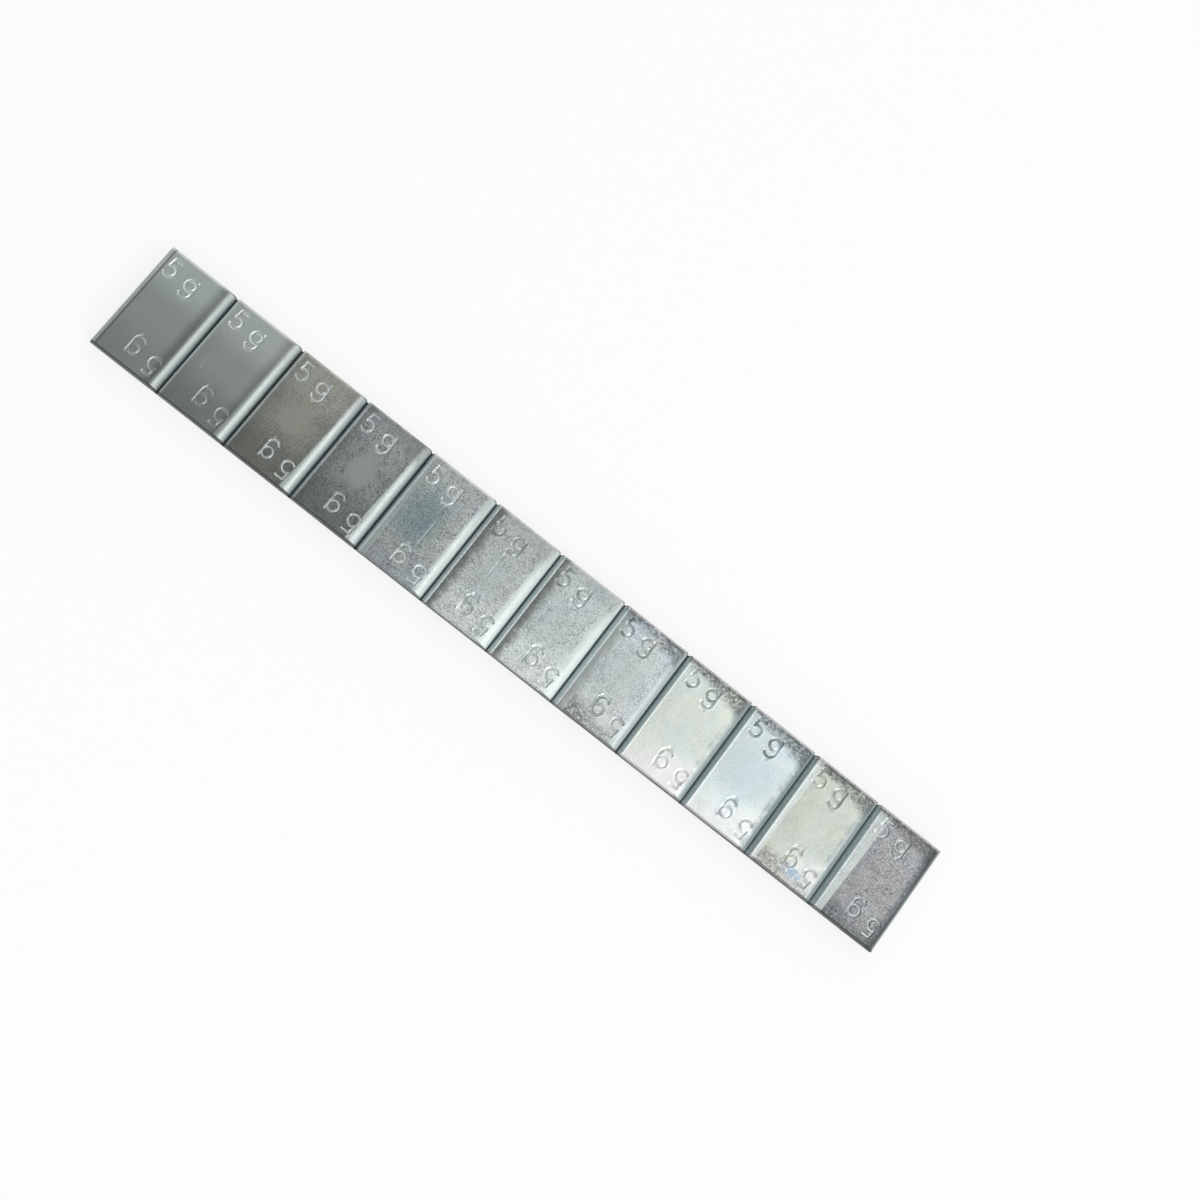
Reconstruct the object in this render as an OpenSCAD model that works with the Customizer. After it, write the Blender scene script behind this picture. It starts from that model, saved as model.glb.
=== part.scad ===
// Adhesive wheel balance weight: one rolled steel strip of breakable pads on a
// foam tape that is covered by a release liner. Millimetres. X runs along the
// strip, Z is up, and the origin is the middle of the liner's underside.

/* [Steel strip] */
// number of pads in the strip
pad_count = 12; // [2:1:20]
// length of one pad, from groove middle to groove middle
pad_pitch = 12.5; // [9:0.1:20]
// width of the strip, across its length
strip_w = 19; // [12:0.5:30]
// thickness of the steel at the pads
strip_t = 2.8; // [2.4:0.05:5]
// radius of the rolled long edges on the upper side
edge_r = 0.55; // [0.2:0.05:1]
// radius of the rolled long edges on the underside
lower_edge_r = 0.3; // [0.1:0.05:0.6]

/* [Grooves] */
// thickness of the web that is left under a groove
web_t = 0.6; // [0.3:0.05:1.2]
// width of the flat floor of a groove
floor_w = 0.2; // [0.1:0.05:0.8]
// lean of the drawn wall, at the +X end of each pad, from the upright
drawn_lean = 5; // [2:1:20]
// radius of the shoulder that rounds the drawn wall into the pad
shoulder_r = 1.5; // [0.5:0.1:1.8]
// lean of the cut wall, at the -X end of each pad, from the upright
cut_lean = 12; // [4:1:25]
// radius of the crisp corner between the cut wall and the pad
corner_r = 0.15; // [0.05:0.05:0.4]

/* [Foam tape] */
// thickness of the foam tape
tape_t = 0.8; // [0.4:0.05:2]
// how far the tape stays inside the ends of the steel
tape_end_inset = 0.35; // [0.1:0.05:1]
// how far the tape stays inside the long edges of the steel
tape_side_inset = 0.4; // [0.1:0.05:1]
// radius of the tape's corners, seen from above
tape_corner_r = 0.4; // [0.2:0.1:2]

/* [Release liner] */
// thickness of the release liner
liner_t = 0.12; // [0.05:0.01:0.4]
// how far the liner stays inside the ends of the tape
liner_end_inset = 0.25; // [0.05:0.05:1]
// how far the liner stays inside the long edges of the tape
liner_side_inset = 0.1; // [0.05:0.05:1]
// radius of the liner's corners, seen from above
liner_corner_r = 1.2; // [0.2:0.1:2]

/* [Hidden] */

// how far a cutter reaches past the face it cuts
cut_over = 1;
// flats of one rolled long edge
edge_flats = 5;

strip_l = pad_count * pad_pitch;
tape_z = liner_t;
steel_z = liner_t + tape_t;

tape_l = strip_l - 2 * tape_end_inset;
tape_w = strip_w - 2 * tape_side_inset;
liner_l = tape_l - 2 * liner_end_inset;
liner_w = tape_w - 2 * liner_side_inset;

// depth of a groove
depth = strip_t - web_t;
// radius of the shoulder, kept within the depth of the groove
shoulder = min(shoulder_r, 0.95 * depth / (1 - sin(drawn_lean)));
// each wall ends a hair inside its round, so that the two cross cleanly
hair = 0.0001;

// distance from the middle of a groove to where its round of radius r meets the pad
function reach(lean, r) = floor_w / 2 + depth * tan(lean) + r * tan((90 - lean) / 2);

// the wall's end, a hair inside the round: distance from the middle, and height
function leave_x(lean, r) = reach(lean, r) - (r - hair) * cos(lean);
function leave_z(lean, r) = strip_t - r + (r - hair) * sin(lean);

// one groove, seen from the side: a drawn wall on the left and a cut wall on the right
module groove_profile() {
    drawn_x = reach(drawn_lean, shoulder);
    cut_x = reach(cut_lean, corner_r);
    difference() {
        polygon([
            [-floor_w / 2, web_t],
            [floor_w / 2, web_t],
            [leave_x(cut_lean, corner_r), leave_z(cut_lean, corner_r)],
            [cut_x, strip_t],
            [cut_x, strip_t + cut_over],
            [-drawn_x, strip_t + cut_over],
            [-drawn_x, strip_t],
            [-leave_x(drawn_lean, shoulder), leave_z(drawn_lean, shoulder)]
        ]);
        translate([-drawn_x, strip_t - shoulder])
            circle(r = shoulder, $fn = 96);
        translate([cut_x, strip_t - corner_r])
            circle(r = corner_r, $fn = 48);
    }
}

// the strip from the side, with half a groove at each end
module side_profile() {
    difference() {
        translate([-strip_l / 2, 0])
            square([strip_l, strip_t]);
        for (i = [0 : pad_count])
            translate([i * pad_pitch - strip_l / 2, 0])
                groove_profile();
    }
}

// points of one rolled edge, a quarter turn from start_a
function edge_points(cx, cz, r, start_a) = [
    for (i = [0 : edge_flats])
        [
            cx + r * cos(start_a + i * 90 / edge_flats),
            cz + r * sin(start_a + i * 90 / edge_flats)
        ]
];

// the strip from its end: a flat bar with rolled edges
module end_profile() {
    upper_y = strip_w / 2 - edge_r;
    upper_z = strip_t - edge_r;
    lower_y = strip_w / 2 - lower_edge_r;
    polygon(concat(
        edge_points(upper_y, upper_z, edge_r, 0),
        edge_points(-upper_y, upper_z, edge_r, 90),
        edge_points(-lower_y, lower_edge_r, lower_edge_r, 180),
        edge_points(lower_y, lower_edge_r, lower_edge_r, 270)
    ));
}

// a thin sheet with round corners, its underside on z = 0
module sheet(l, w, t, r) {
    linear_extrude(height = t)
        union() {
            square([l - 2 * r, w], center = true);
            square([l, w - 2 * r], center = true);
            for (x = [-1, 1])
                for (y = [-1, 1])
                    translate([x * (l / 2 - r), y * (w / 2 - r)])
                        circle(r = r, $fn = 48);
        }
}

module steel_strip() {
    color([0.72, 0.74, 0.75])
        translate([0, 0, steel_z])
            intersection() {
                rotate([90, 0, 0])
                    linear_extrude(height = strip_w + 2 * cut_over, center = true)
                        side_profile();
                rotate([90, 0, 90])
                    linear_extrude(height = strip_l + 2 * cut_over, center = true)
                        end_profile();
            }
}

module foam_tape() {
    color([0.07, 0.07, 0.08])
        translate([0, 0, tape_z])
            sheet(tape_l, tape_w, tape_t, tape_corner_r);
}

module release_liner() {
    color([0.28, 0.52, 0.78])
        sheet(liner_l, liner_w, liner_t, liner_corner_r);
}

steel_strip();
foam_tape();
release_liner();
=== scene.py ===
import bpy
import math
import numpy as np
from mathutils import Matrix, Vector


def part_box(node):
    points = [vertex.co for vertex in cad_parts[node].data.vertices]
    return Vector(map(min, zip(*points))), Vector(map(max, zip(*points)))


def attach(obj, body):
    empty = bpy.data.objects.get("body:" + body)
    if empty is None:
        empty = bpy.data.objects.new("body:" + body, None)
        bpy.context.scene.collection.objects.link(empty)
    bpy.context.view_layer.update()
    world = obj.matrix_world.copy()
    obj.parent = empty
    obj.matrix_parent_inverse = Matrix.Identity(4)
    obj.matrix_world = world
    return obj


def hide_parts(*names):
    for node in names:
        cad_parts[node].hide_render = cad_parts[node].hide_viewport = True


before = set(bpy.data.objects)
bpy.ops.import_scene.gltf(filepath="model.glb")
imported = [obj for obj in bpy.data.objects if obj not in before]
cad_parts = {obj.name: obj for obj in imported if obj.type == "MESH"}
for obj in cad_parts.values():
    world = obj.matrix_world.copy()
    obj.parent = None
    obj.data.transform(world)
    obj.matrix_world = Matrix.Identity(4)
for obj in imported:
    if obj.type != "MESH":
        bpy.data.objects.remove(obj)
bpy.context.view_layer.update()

MM = 0.001
rng = np.random.default_rng(20)

# the strip, in millimetres and radians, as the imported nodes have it
steel_lo, steel_hi = [np.array(corner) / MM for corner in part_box("steel_strip")]
tape_lo, tape_hi = [np.array(corner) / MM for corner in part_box("foam_tape")]
liner_lo, liner_hi = [np.array(corner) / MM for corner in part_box("release_liner")]

PAD_COUNT = 12
PITCH = float(steel_hi[0] - steel_lo[0]) / PAD_COUNT
HALF_W = float(steel_hi[1] - steel_lo[1]) / 2
THICK = float(steel_hi[2] - steel_lo[2])
WEB_T = 0.6
FLOOR_W = 0.2
DRAWN_LEAN = math.radians(5)
SHOULDER_R = 1.5
CUT_LEAN = math.radians(12)
CORNER_R = 0.15
EDGE_R = 0.55
LOWER_R = 0.3
LINER_CORNER_R = 1.2
TAPE_CORNER_R = 0.4

# the stamped marks: a numeral and a gram sign, near both long edges of a pad
MARK_H = 2.9
MARK_LEFT = 1.75
MARK_TOP = 1.25
STROKE_W = 0.205
STAMP_DEPTH = 0.28
MARK_LOW = HALF_W - MARK_TOP - MARK_H

# spacing of the mesh where the marks and the slopes are
FINE = 0.09


def smooth(t):
    """0 to 1 with soft ends, as t goes from 0 to 1."""
    t = np.clip(t, 0, 1)
    return t * t * (3 - 2 * t)


def slant(degrees):
    """Rise for each millimetre, of a lean in degrees."""
    return math.tan(math.radians(degrees))


def waves(x, y, size, seed, count=7):
    """Smooth seeded unevenness between about -1 and 1, with bumps of about the given size."""
    draw = np.random.default_rng(seed)
    out = np.zeros(np.broadcast(x, y).shape)
    for _ in range(count):
        turn, phase = draw.uniform(0, 2 * math.pi, 2)
        k = 2 * math.pi / (size * draw.uniform(0.7, 1.6))
        out += np.sin(k * (x * math.cos(turn) + y * math.sin(turn)) + phase)
    return out / math.sqrt(count) * 0.8


# the strip's profiles

# the small round at the foot of a groove's wall, from the edge of its floor
ROOT = [(-0.05, 0.0), (-0.01, 0.02), (0.015, 0.07)]
WALL_SHARES = (0.25, 0.5, 0.75, 0.95)


def half_profile(lean, radius, steps):
    """From the middle of a groove to the flat of a pad: distance from the groove and height."""
    half = FLOOR_W / 2
    wall_x = half + (THICK - WEB_T) * math.tan(lean)
    reach = wall_x + radius * math.tan((math.pi / 2 - lean) / 2)
    points = [(0.0, WEB_T)] + [(half + x, WEB_T + z) for x, z in ROOT]
    foot_z = points[-1][1]
    leave_z = THICK - radius + radius * math.sin(lean)
    for t in WALL_SHARES:
        z = foot_z + (leave_z - foot_z) * t
        points.append((half + (z - WEB_T) * math.tan(lean), z))
    for i in range(steps + 1):
        a = math.pi - lean - (math.pi / 2 - lean) * i / steps
        points.append((reach + radius * math.cos(a), THICK - radius + radius * math.sin(a)))
    return points, reach


DRAWN, DRAWN_X = half_profile(DRAWN_LEAN, SHOULDER_R, steps=14)
CUT, CUT_X = half_profile(CUT_LEAN, CORNER_R, steps=5)
# where the flat of a pad ends, from the pad's middle
FLAT_RIGHT = PITCH / 2 - DRAWN_X
FLAT_LEFT = PITCH / 2 - CUT_X


def pad_stations():
    """Stations along one pad, from its middle: place, and height of the side profile."""
    left = [(-PITCH / 2 + x, z) for x, z in CUT]
    right = [(PITCH / 2 - x, z) for x, z in reversed(DRAWN)]
    span = FLAT_RIGHT + FLAT_LEFT
    steps = int(round(span / FINE))
    middle = [(-FLAT_LEFT + span * i / steps, THICK) for i in range(1, steps)]
    return np.array(left + middle + right)


# the band that is meshed finely, from outside a row of marks to inside its tails
BAND_OUT = HALF_W - MARK_TOP + 0.35
BAND_IN = MARK_LOW - 1.25
# nothing is stamped further in than this
MARKS_FROM = MARK_LOW - 1.3
EDGE_STEPS = 8
# columns from the rolled edge to the band, and from the band to the middle
EDGE_COLUMNS, MIDDLE_COLUMNS = 4, 13


def top_columns():
    """Places across the top of the strip, and how far the rolled edge drops there."""
    side = []
    for i in range(EDGE_STEPS + 1):
        a = math.pi / 2 * (1 - i / EDGE_STEPS)
        side.append((HALF_W - EDGE_R + EDGE_R * math.sin(a), EDGE_R * (1 - math.cos(a))))
    flat = [*np.linspace(HALF_W - EDGE_R, BAND_OUT, EDGE_COLUMNS)[1:-1],
            *np.linspace(BAND_OUT, BAND_IN, int((BAND_OUT - BAND_IN) / FINE)),
            *np.linspace(BAND_IN, 0, MIDDLE_COLUMNS)[1:-1]]
    side += [(y, 0.0) for y in flat]
    return np.array([(-y, drop) for y, drop in side] + [(0.0, 0.0)] + side[::-1])


# the stamped marks

def arc(cx, cy, r, a0, a1, steps=22):
    """Points of an arc between two angles in degrees."""
    turns = [math.radians(a0 + (a1 - a0) * i / steps) for i in range(steps + 1)]
    return [(cx + r * math.cos(a), cy + r * math.sin(a)) for a in turns]


def mark_strokes():
    """Middle lines of the strokes of a 5 and a g, from the mark's lower left corner."""
    five = [(1.62, MARK_H), (0.42, MARK_H), (0.27, 1.62)] + arc(0.80, 0.93, 0.93, 128, -138)
    bowl = arc(4.62, 1.02, 0.86, 0, 360, 30)
    tail = [(5.48, 2.02), (5.48, -0.25)] + arc(4.58, -0.25, 0.90, 0, -150)
    return [five, bowl, tail]


# further than any stroke is from a point that matters, and what keeps a division from failing
FARTHEST, TINY = 9.0, 1e-12


def stroke_distance(u, v, strokes):
    """Distance of each point to the nearest stroke."""
    best = np.full(u.shape, FARTHEST)
    for line in strokes:
        for (x0, y0), (x1, y1) in zip(line[:-1], line[1:]):
            dx, dy = x1 - x0, y1 - y0
            t = ((u - x0) * dx + (v - y0) * dy) / (dx * dx + dy * dy + TINY)
            t = np.clip(t, 0, 1)
            best = np.minimum(best, np.hypot(u - x0 - t * dx, v - y0 - t * dy))
    return best


STROKES = mark_strokes()
# how far a hand-held punch slips and turns, and how hard it is struck
PUNCH_SLIP = 0.07
PUNCH_TURN = 0.9
PUNCH_FORCE = (0.75, 1.0)
# the first pads are struck more weakly
WEAK_PADS, WEAK_FORCE = 2, 0.5
# how far a stroke's rounded wall starts outside it, and how wide the wall is
STROKE_ROUND, STROKE_WALL = 0.07, 0.16
# the mean depth of a stroke, how much it varies along the stroke, and its limits
STRIKE_MEAN, STRIKE_WAVE, STRIKE_LIMITS = 0.82, 0.18, (0.45, 1.1)
# the low burr that a stroke pushes up beside it
BURR_H, BURR_OUT, BURR_W = 0.022, 0.13, 0.09
PUNCH_SEED, STRIKE_SEED = 500, 900


def mark_depth(x, y, pad, row):
    """Depth of a pad's upper (row 0) or lower (row 1) mark, with the slips of the punch."""
    draw = np.random.default_rng(PUNCH_SEED + pad * 2 + row)
    slip_x, slip_y = draw.normal(0, PUNCH_SLIP, 2)
    turn = math.radians(draw.normal(0, PUNCH_TURN))
    force = draw.uniform(*PUNCH_FORCE) * (WEAK_FORCE if pad < WEAK_PADS else 1.0)
    if row:
        x, y = -x, -y
    u = x + PITCH / 2 - MARK_LEFT - slip_x
    v = y - MARK_LOW - slip_y
    cos, sin = math.cos(turn), math.sin(turn)
    d = stroke_distance(u * cos + v * sin, v * cos - u * sin, STROKES)
    strike = waves(x, y, size=2.4, seed=STRIKE_SEED + pad * 2 + row)
    strike = np.clip(STRIKE_MEAN + STRIKE_WAVE * strike, *STRIKE_LIMITS)
    groove = smooth((STROKE_W + STROKE_ROUND - d) / STROKE_WALL) * STAMP_DEPTH
    burr = BURR_H * np.exp(-((d - STROKE_W - BURR_OUT) / BURR_W) ** 2)
    return (groove - burr) * force * strike


# the steel strip

# lean of each pad along and across the strip, in degrees, and most at the strip's ends
TILT_SPREAD, ROLL_SPREAD = 0.16, 0.08
PAD_TILT = rng.normal(0, TILT_SPREAD, PAD_COUNT)
PAD_TILT[0], PAD_TILT[1], PAD_TILT[-1] = -0.42, -0.34, 0.45
PAD_ROLL = rng.normal(0, ROLL_SPREAD, PAD_COUNT)

# the rubbed slope before a pad's right groove: width at the near and far long edge, and slope
RIGHT_BEVEL = {
    0: (0.9, 0.7, 0.12), 1: (1.2, 0.6, 0.14), 2: (1.3, 0.5, 0.14), 3: (1.5, 0.6, 0.16),
    4: (1.35, 0.8, 0.14), 5: (1.7, 1.1, 0.19), 6: (1.8, 1.15, 0.19), 7: (1.2, 0.8, 0.09),
    8: (0.7, 0.7, 0.03), 10: (0.7, 0.7, 0.03),
}
# the same after a pad's left groove
LEFT_BEVEL = {4: (1.4, 1.1, 0.05), 7: (1.7, 1.4, 0.08), 10: (1.0, 1.5, 0.05),
              11: (1.55, 2.45, 0.055)}
# how far from the groove's middle the slopes are measured, on a pad's right and left
BEVEL_END = {1: 0.65, -1: 0.35}
# the round where a slope starts, the soft rim of its rubbed look, and the waves of its line
BEVEL_ROUND, BEVEL_BLEND, BEVEL_WAVE = 0.05, 0.2, 0.05
# the right slope narrows to nothing over this length before the far long edge
BEVEL_RUNOUT = 2.2
# one scratch on each of two pads: from, to and depth
SCRATCHES = {4: (0.8, 1.1, 0.7, -3.2, 0.04), 5: (-0.5, 4.4, -0.45, -0.3, 0.035)}
# how wide a scratch is, and how strongly it takes the painted highlight and shade of a stamped
# stroke
SCRATCH_W, SCRATCH_PALE = 0.09, 0.75
# a dent in one pad: place and depth, with a low rim round it
DENT_PAD, DENT_AT = 1, (-3.2, -2.1)
DENT_DEPTH, DENT_SPREAD = 0.07, 0.10
RIM_HEIGHT, RIM_SPREAD = 0.012, 0.45
# the burr that the cutter leaves along a pad's crisp corner
CUT_BURR_H, CUT_BURR_IN, CUT_BURR_W = 0.032, 0.05, 0.08
# pressed pads are a little full in the middle
CROWN = 0.05
# the round between the rolled edge and the side profile
TOP_ROUND = 0.10
# long and short waves of a pad's face, and the drop that keeps it under the solid's
LONG_WAVE, SHORT_WAVE, UNEVEN_DROP = 0.010, 0.004, 0.016


def slope_off(x, y, side, near, far, slope):
    """Height taken off beyond a line from one long edge to the other, and the share rubbed."""
    width = far + (near - far) * (0.5 - y / (2 * HALF_W))
    # the seed comes from the width, so that slopes of different widths wave differently
    width = width + BEVEL_WAVE * waves(y, y * 0, size=5.0, seed=int(near * 70))
    if side > 0:
        width = width * np.clip((HALF_W - y) / BEVEL_RUNOUT, 0, 1) ** 0.5
    over = side * x - (PITCH / 2 - BEVEL_END[side] - width)
    height = slope * 0.5 * (over + np.sqrt(over * over + BEVEL_ROUND * BEVEL_ROUND))
    return height, smooth(over / BEVEL_BLEND + 0.5)


def scratch(x, y, x0, y0, x1, y1, depth):
    """Depth of a straight scratch between two points."""
    x, y = np.broadcast_arrays(x, y)
    d = stroke_distance(x, y, [[(x0, y0), (x1, y1)]])
    return depth * np.exp(-(d / SCRATCH_W) ** 2)


def rolled_height(z_side, drop):
    """The lower of the side profile and the rolled edge, with a small round between them."""
    z_end = THICK - drop
    h = np.clip(0.5 + 0.5 * (z_end - z_side) / TOP_ROUND, 0, 1)
    z = z_end * (1 - h) + z_side * h - TOP_ROUND * h * (1 - h)
    return np.where(z_side < THICK - EDGE_R - TOP_ROUND, np.minimum(z_side, z), z)


def pad_unevenness(x, y, pad):
    """How the lean, the fullness and small waves of a pad change its height."""
    along, across = slant(PAD_TILT[pad]), slant(PAD_ROLL[pad])
    tilt = along * x + across * y - abs(along) * PITCH / 2 - abs(across) * HALF_W
    crown = np.clip(np.abs(x) / (PITCH / 2), 0, 1) ** 3 + (np.abs(y) / HALF_W) ** 5
    uneven = LONG_WAVE * waves(x, y, size=6.0, seed=40 + pad)
    uneven += SHORT_WAVE * waves(x, y, size=1.9, seed=80 + pad)
    return tilt + uneven - UNEVEN_DROP - CROWN * crown


def pad_marks(x, y, pad):
    """Depth of both marks of a pad."""
    marks = np.zeros(np.broadcast(x, y).shape)
    rows = np.abs(y[0]) > MARKS_FROM
    for row, columns in enumerate((rows & (y[0] > 0), rows & (y[0] < 0))):
        marks[:, columns] = mark_depth(x, y[:, columns], pad, row)
    return marks


def pad_wear(x, y, pad):
    """Height that the dent, slopes and burr take off a pad, and the share that is rubbed."""
    off = np.zeros(np.broadcast(x, y).shape)
    rubbed = np.zeros(off.shape)
    if pad == DENT_PAD:
        apart = (x - DENT_AT[0]) ** 2 + (y - DENT_AT[1]) ** 2
        off += DENT_DEPTH * np.exp(-apart / DENT_SPREAD)
        off -= RIM_HEIGHT * np.exp(-apart / RIM_SPREAD)
    for side, bevels in ((1, RIGHT_BEVEL), (-1, LEFT_BEVEL)):
        if pad in bevels:
            height, share = slope_off(x, y, side, *bevels[pad])
            off += height
            rubbed = np.maximum(rubbed, share)
    off -= CUT_BURR_H * np.exp(-((x + FLAT_LEFT - CUT_BURR_IN) / CUT_BURR_W) ** 2)
    return off, rubbed


def pad_top(pad, stations, columns):
    """Heights of one pad's upper side, how deep it is stamped and where it is rubbed."""
    x, z_side = stations[:, :1], stations[:, 1:]
    y, drop = columns[None, :, 0], columns[None, :, 1]
    z = rolled_height(z_side, drop)
    marks = pad_marks(x, y, pad)
    stamp = marks / STAMP_DEPTH
    off, rubbed = pad_wear(x, y, pad)
    if pad in SCRATCHES:
        scored = scratch(x, y, *SCRATCHES[pad])
        off += scored
        stamp = np.maximum(stamp, SCRATCH_PALE * scored / scored.max())
    share = np.clip((z - WEB_T) / (THICK - WEB_T), 0, 1)
    z = z + share ** 3 * pad_unevenness(x, y, pad) - share ** 4 * (marks + off)
    return z, stamp, rubbed


def strip_rows(first, last):
    """Places along the strip, heights, stamp and rub of the pads from first to last."""
    stations, columns = pad_stations(), top_columns()
    rows = []
    for pad in range(first, last + 1):
        x = stations[:, 0] + steel_lo[0] + PITCH * (pad + 0.5)
        # two pads share the station in the middle of their groove
        keep = slice(None) if pad == first else slice(1, None)
        rows.append([part[keep] for part in (x, *pad_top(pad, stations, columns))])
    return [np.concatenate(parts) for parts in zip(*rows)]


SIDE_STEPS = 5
LOWER_STEPS = 4
UNDER_Y = (6, 3, 0, -3, -6)
# the rolled sides are a little uneven, over this much of the width
SIDE_WOBBLE, SIDE_BAND = 0.02, 0.8
# angles from which an edge of the steel and of the sheets is sharp, in degrees
STEEL_SHARP, SHEET_SHARP = 38, 50


def under_ring():
    """Down one long side, under the strip and up the other: place across, share down, drop."""
    right = [(HALF_W, i / SIDE_STEPS, 0) for i in range(1, SIDE_STEPS + 1)]
    for i in range(1, LOWER_STEPS + 1):
        a = math.pi / 2 * i / LOWER_STEPS
        right.append((HALF_W - LOWER_R + LOWER_R * math.cos(a), 1, LOWER_R * math.sin(a)))
    bottom = [(y, 1, LOWER_R) for y in UNDER_Y]
    return np.array(right + bottom + [(-y, t, s) for y, t, s in reversed(right)])


def strip_points(xs, tops):
    """Points of the strip, one ring for each station."""
    ring_y, ring_t, ring_s = under_ring().T[:, None, :]
    z_start = np.where(ring_y >= 0, tops[:, -1:], tops[:, :1])
    ring_z = z_start + (LOWER_R - z_start) * ring_t - ring_s
    across = np.concatenate([top_columns()[:, 0], ring_y[0]])
    y = np.broadcast_to(across, (len(xs), len(across)))
    wobble = SIDE_WOBBLE * waves(xs[:, None], y * 0 + 3, size=14.0, seed=7) - SIDE_WOBBLE
    side = np.clip((np.abs(y) - (HALF_W - SIDE_BAND)) / SIDE_BAND, 0, 1)
    points = np.empty((*y.shape, 3))
    points[:, :, 0] = xs[:, None]
    points[:, :, 1] = y + np.sign(y) * side * wobble
    points[:, :, 2] = np.concatenate([tops, ring_z], axis=1) + steel_lo[2]
    return points


def strip_part(name, first, last):
    """The pads from first to last as one closed mesh."""
    xs, tops, stamp, rubbed = strip_rows(first, last)
    points = strip_points(xs, tops)
    idx = np.arange(points[:, :, 0].size).reshape(points.shape[:2])
    a, d = idx[:-1], idx[1:]
    quads = np.stack([a, d, np.roll(d, -1, axis=1), np.roll(a, -1, axis=1)], axis=-1)
    ends = [idx[0].tolist(), idx[-1, ::-1].tolist()]
    part = build_mesh(name, points.reshape(-1, 3), quads.reshape(-1, 4), ends, STEEL_SHARP)
    under = np.zeros((len(xs), points.shape[1] - tops.shape[1]))
    for key, values in (("stamp", stamp), ("rubbed", rubbed)):
        values = np.concatenate([values, under], axis=1).clip(0, 1)
        layer = part.data.attributes.new(key, "FLOAT", "POINT")
        layer.data.foreach_set("value", values.ravel())
    return part


def build_mesh(name, points, quads, ngons, angle):
    """A smooth mesh from millimetre points, sharp where two faces meet at more than the angle."""
    mesh = bpy.data.meshes.new(name)
    faces = [tuple(q) for q in quads.tolist()] + [tuple(g) for g in ngons]
    mesh.from_pydata((points * MM).tolist(), [], faces)
    mesh.validate()
    mesh.shade_smooth()
    mesh.set_sharp_from_angle(angle=math.radians(angle))
    obj = bpy.data.objects.new(name, mesh)
    bpy.context.scene.collection.objects.link(obj)
    return obj


# the tape and the liner

# heights of the sheets' rings, as shares of their thickness
TAPE_LEVELS = [0.0, 0.08, 0.22, 0.36, 0.5, 0.64, 0.78, 0.92, 1.0]
LINER_LEVELS = [0.0, 0.2, 0.8, 1.0]
TAPE_STEP = 0.22
LINER_STEP = 0.4
CORNER_STEPS = 8

# the tape's cut side: its wavy line, cut cells, open pores and waist
TAPE_CUT, TAPE_WAVE, TAPE_CELL, TAPE_PORE = 0.05, 0.03, 0.06, 0.05
TAPE_WAIST, TAPE_LIMIT = 0.05, 0.25
# the film's cut side: its wavy line, ragged ends, chipped corner and worn faces
FILM_CUT, FILM_WAVE, FILM_LIMIT = 0.03, 0.02, 0.08
RAGGED, RAGGED_WAVE, RAGGED_LIMIT = 0.06, 0.08, 0.16
RAGGED_FROM, RAGGED_BLEND = 0.996, 0.003
CHIP_DEPTH, CHIP_SPREAD, FACE_WEAR = 0.9, 0.8, 0.02


def rounded_rim(lo, hi, radius, step):
    """Points round a rectangle with round corners, with their outward directions."""
    cx, cy = (hi[0] + lo[0]) / 2, (hi[1] + lo[1]) / 2
    hx, hy = (hi[0] - lo[0]) / 2 - radius, (hi[1] - lo[1]) / 2 - radius
    points, outs = [], []
    corners = [(hx, hy, 0), (-hx, hy, 90), (-hx, -hy, 180), (hx, -hy, 270)]
    for i, (x, y, a0) in enumerate(corners):
        for j in range(CORNER_STEPS + 1):
            a = math.radians(a0 + 90 * j / CORNER_STEPS)
            outs.append((math.cos(a), math.sin(a)))
            points.append((cx + x + radius * outs[-1][0], cy + y + radius * outs[-1][1]))
        x, y, _ = corners[(i + 1) % 4]
        out = outs[-1]
        start = np.array(points[-1])
        end = np.array([cx + x + radius * out[0], cy + y + radius * out[1]])
        count = max(2, int(np.linalg.norm(end - start) / step))
        for j in range(1, count):
            points.append(tuple(start + (end - start) * j / count))
            outs.append(out)
    return np.array(points), np.array(outs)


def sheet_mesh(name, lo, hi, radius, step, levels, inset):
    """A sheet whose rim is cut back by inset(level, x, y) at each level of its thickness."""
    rim, outs = rounded_rim(lo, hi, radius, step)
    rows = []
    for t in levels:
        back = inset(t, rim[:, 0], rim[:, 1])
        height = np.full(len(rim), lo[2] + (hi[2] - lo[2]) * t)
        rows.append(np.column_stack([rim - outs * back[:, None], height]))
    idx = np.arange(len(levels) * len(rim)).reshape(len(levels), len(rim))
    a, d = idx[:-1], idx[1:]
    quads = np.stack([a, np.roll(a, -1, axis=1), np.roll(d, -1, axis=1), d], axis=-1)
    ends = [idx[0, ::-1].tolist(), idx[-1].tolist()]
    return build_mesh(name, np.concatenate(rows), quads.reshape(-1, 4), ends, SHEET_SHARP)


def tape_inset(t, x, y):
    """The tape's cut side: a wavy line, open cells and a slight waist."""
    cut = TAPE_CUT + TAPE_WAVE * waves(x, y, size=9.0, seed=11)
    # each level has its own seeds, so that cells and pores don't line up
    cells = np.random.default_rng(300 + int(t * 100)).uniform(0, TAPE_CELL, len(x))
    pores = waves(x + 7 * t, y, size=0.9, seed=60 + int(t * 10))
    cells = cells + np.clip(pores, 0, 1) * TAPE_PORE
    if t in (0.0, 1.0):
        cells = cells * 0
    return np.clip(cut + cells + TAPE_WAIST * math.sin(math.pi * t), 0, TAPE_LIMIT)


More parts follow.
